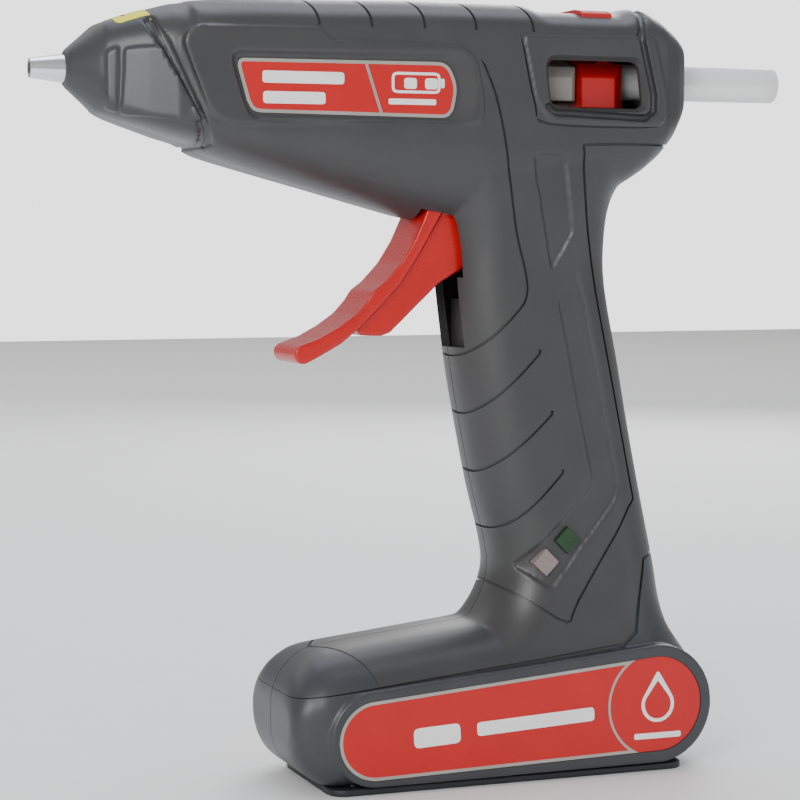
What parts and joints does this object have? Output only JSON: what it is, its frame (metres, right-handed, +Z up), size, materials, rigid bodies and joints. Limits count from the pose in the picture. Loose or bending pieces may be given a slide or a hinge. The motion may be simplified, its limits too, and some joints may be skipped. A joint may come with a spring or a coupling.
{
  "type": "hot glue gun",
  "caption": "Cordless hot glue gun with a finger trigger, a sliding stick feed behind a side window, a heated nozzle and a battery foot to stand on.",
  "frame": {"origin": "centre of the base plate's flat rest face", "axes": "+Z up, nozzle towards -X, glue stick towards +X, left side towards -Y"},
  "size_m": [0.242, 0.054, 0.2372],
  "materials": {
    "housing": "fine moulded texture, satin",
    "nose": "fine moulded texture, heat-resistant",
    "foot": "fine moulded texture, satin",
    "red_plastic": "smooth moulded, low gloss",
    "label": "printed film",
    "yellow_label": "printed film",
    "green_lens": "clear tinted",
    "red_lens": "clear tinted",
    "inner_plastic": "moulded",
    "sleeve": "smooth moulded",
    "steel": "bright",
    "chamber": "cast",
    "nozzle": "turned",
    "brass": "turned",
    "glue": "milky, slightly clear",
    "silicone": "soft",
    "ring": "phenolic",
    "ceramic": "ceramic",
    "cell": "cell in a plastic wrap",
    "board": "circuit board",
    "lead": "insulated wire"
  },
  "bodies": {
    "root": {"left_housing": "housing", "right_housing": "housing", "nose_shroud": "nose", "left_foot_shell": "foot", "right_foot_shell": "foot", "base_plate": "foot", "left_barrel_label": "label", "right_barrel_label": "label", "left_foot_label": "label", "right_foot_label": "label", "nose_label": "yellow_label", "green_lens": "green_lens", "red_lens": "red_lens", "stick_guide": "inner_plastic", "button_switch": "inner_plastic", "cell_holder": "inner_plastic", "charging_socket": "inner_plastic", "trigger_pin": "steel", "return_spring": "steel", "button_spring": "steel", "check_spring": "steel", "housing_screws": "steel", "foot_screws": "steel", "heater_clip": "steel", "cell_straps": "steel", "melt_chamber": "chamber", "nozzle": "nozzle", "valve_seat": "brass", "inlet_sleeve": "silicone", "front_ring": "ring", "rear_ring": "ring", "heater": "ceramic", "thermal_cutout": "ceramic", "left_cell": "cell", "right_cell": "cell", "control_board": "board", "status_board": "board", "battery_leads": "lead", "heater_leads": "lead"},
    "trigger": {"trigger": "red_plastic"},
    "carriage": {"feed_carriage": "red_plastic", "clamp_sleeve": "sleeve", "clamp_pin": "steel"},
    "clamp": {"stick_clamp": "steel"},
    "stick": {"glue_stick": "glue"},
    "button": {"power_button": "red_plastic"},
    "ball": {"check_ball": "steel"}
  },
  "joints": [
    {"name": "trigger_pull", "type": "hinge", "parent": "root", "child": "trigger", "pos_m": [-0.014, 0, 0.187], "axis": [0, -1, 0], "range_deg": [0, 24], "stiffness_Nm_per_rad": 0.25, "springref_deg": -22.92},
    {"name": "carriage_feed", "type": "slide", "parent": "root", "child": "carriage", "axis": [-1, 0, 0], "range_m": [0, 0.012], "deforming": ["return_spring"]},
    {"name": "clamp_tilt", "type": "hinge", "parent": "carriage", "child": "clamp", "pos_m": [0.03595, 0, 0.2239], "axis": [0, -1, 0], "range_deg": [0, 8], "stiffness_Nm_per_rad": 0.02, "springref_deg": -5.73},
    {"name": "stick_load", "type": "slide", "parent": "carriage", "child": "stick", "axis": [1, 0, 0], "range_m": [0, 0.165]},
    {"name": "button_press", "type": "slide", "parent": "root", "child": "button", "axis": [0, 0, -1], "range_m": [0, 0.0009], "stiffness_N_per_m": 800, "springref_m": -0.001, "deforming": ["button_spring"]},
    {"name": "ball_lift", "type": "slide", "parent": "root", "child": "ball", "axis": [-1, 0, 0], "range_m": [0, 0.0008], "stiffness_N_per_m": 200, "springref_m": -0.0005, "deforming": ["check_spring"]}
  ],
  "couplings": [
    {"joint": "carriage_feed", "follows": "trigger_pull", "m_per_rad": 0.028418}
  ]
}
